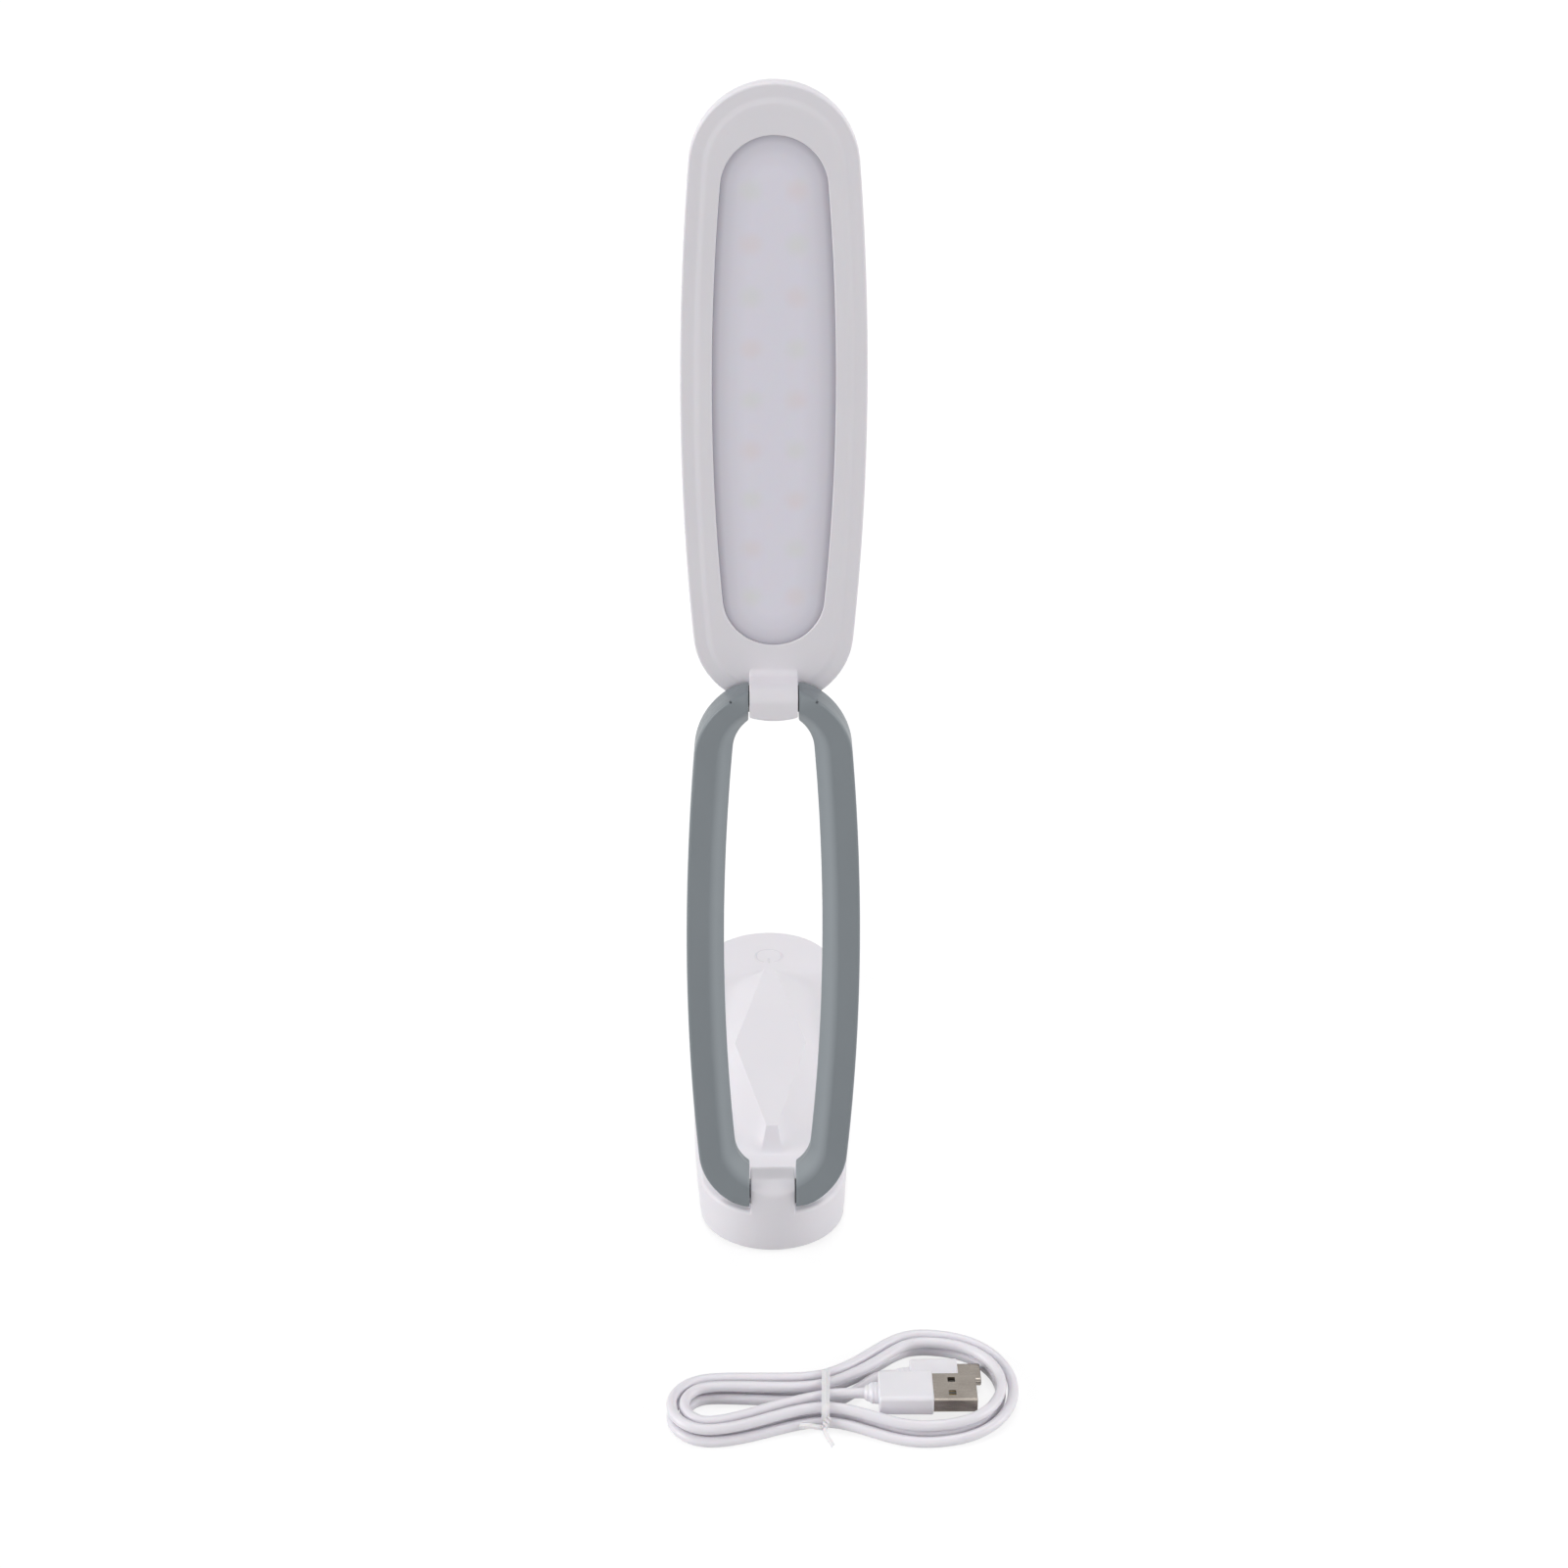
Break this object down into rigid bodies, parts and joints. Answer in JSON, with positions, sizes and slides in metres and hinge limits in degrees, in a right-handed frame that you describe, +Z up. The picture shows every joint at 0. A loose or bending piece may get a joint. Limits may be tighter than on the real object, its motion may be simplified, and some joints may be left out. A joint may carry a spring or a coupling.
{
  "type": "folding desk lamp",
  "caption": "Rechargeable folding desk lamp: oval base with a faceted boss, open ring arm and oval light head on two hinges, with a tied charging lead.",
  "frame": {"origin": "centre of the underside of the base foot pad, on the table", "axes": "+X to the right of the lit side, +Y to the back along the base, +Z up"},
  "size_m": [0.1004, 0.2673, 0.3525],
  "materials": {
    "white_shell": "satin",
    "grey_shell": "satin",
    "foot_rubber": "matte",
    "screw_steel": "satin",
    "pin_steel": "satin",
    "washer_plastic": "matte",
    "weight_steel": "satin",
    "cell_wrap": "gloss",
    "tape_foam": "matte",
    "board_green": "satin",
    "socket_steel": "satin",
    "touch_metal": "satin",
    "icon_clear": "gloss",
    "wire_red": "satin",
    "milky_diffuser": "satin",
    "reflector_film": "gloss",
    "lamp_board": "satin",
    "led_warm": "gloss",
    "led_cool": "gloss",
    "lead_jacket": "satin",
    "plug_body": "satin",
    "plug_metal": "gloss",
    "plug_insert": "gloss",
    "tie_wire": "gloss"
  },
  "bodies": {
    "base": {"base_top_shell": "white_shell", "base_bottom_cover": "white_shell", "base_foot_pad": "foot_rubber", "base_screws": "screw_steel", "base_weight": "weight_steel", "battery_pack": "cell_wrap", "battery_tape": "tape_foam", "main_board": "board_green", "usb_c_socket": "socket_steel", "touch_electrode": "touch_metal", "power_icon": "icon_clear", "charge_light_pipe": "icon_clear", "base_wire": "wire_red", "lead_hank": "lead_jacket", "usb_a_strain_relief": "lead_jacket", "usb_a_overmold": "plug_body", "usb_a_shell": "plug_metal", "usb_a_insert": "plug_insert", "usb_c_strain_relief": "lead_jacket", "usb_c_overmold": "plug_body", "usb_c_shell": "plug_metal", "twist_tie": "tie_wire"},
    "arm": {"arm_left_front_shell": "grey_shell", "arm_left_back_shell": "grey_shell", "arm_right_front_shell": "grey_shell", "arm_right_back_shell": "grey_shell", "arm_screws": "screw_steel", "base_hinge_pin": "pin_steel", "base_hinge_washers": "washer_plastic", "head_hinge_pin": "pin_steel", "head_hinge_washers": "washer_plastic", "arm_wire": "wire_red"},
    "head": {"head_front_frame": "white_shell", "head_back_cover": "white_shell", "diffuser": "milky_diffuser", "reflector_sheet": "reflector_film", "led_board": "lamp_board", "leds_warm": "led_warm", "leds_cool": "led_cool", "head_wire": "wire_red"}
  },
  "joints": [
    {"name": "arm_fold", "type": "hinge", "parent": "base", "child": "arm", "pos_m": [0, -0.0821, 0.0192], "axis": [-1, 0, 0], "range_deg": [-3, 85]},
    {"name": "head_fold", "type": "hinge", "parent": "arm", "child": "head", "pos_m": [0, -0.0821, 0.1834], "axis": [1, 0, 0], "range_deg": [0, 180]}
  ]
}
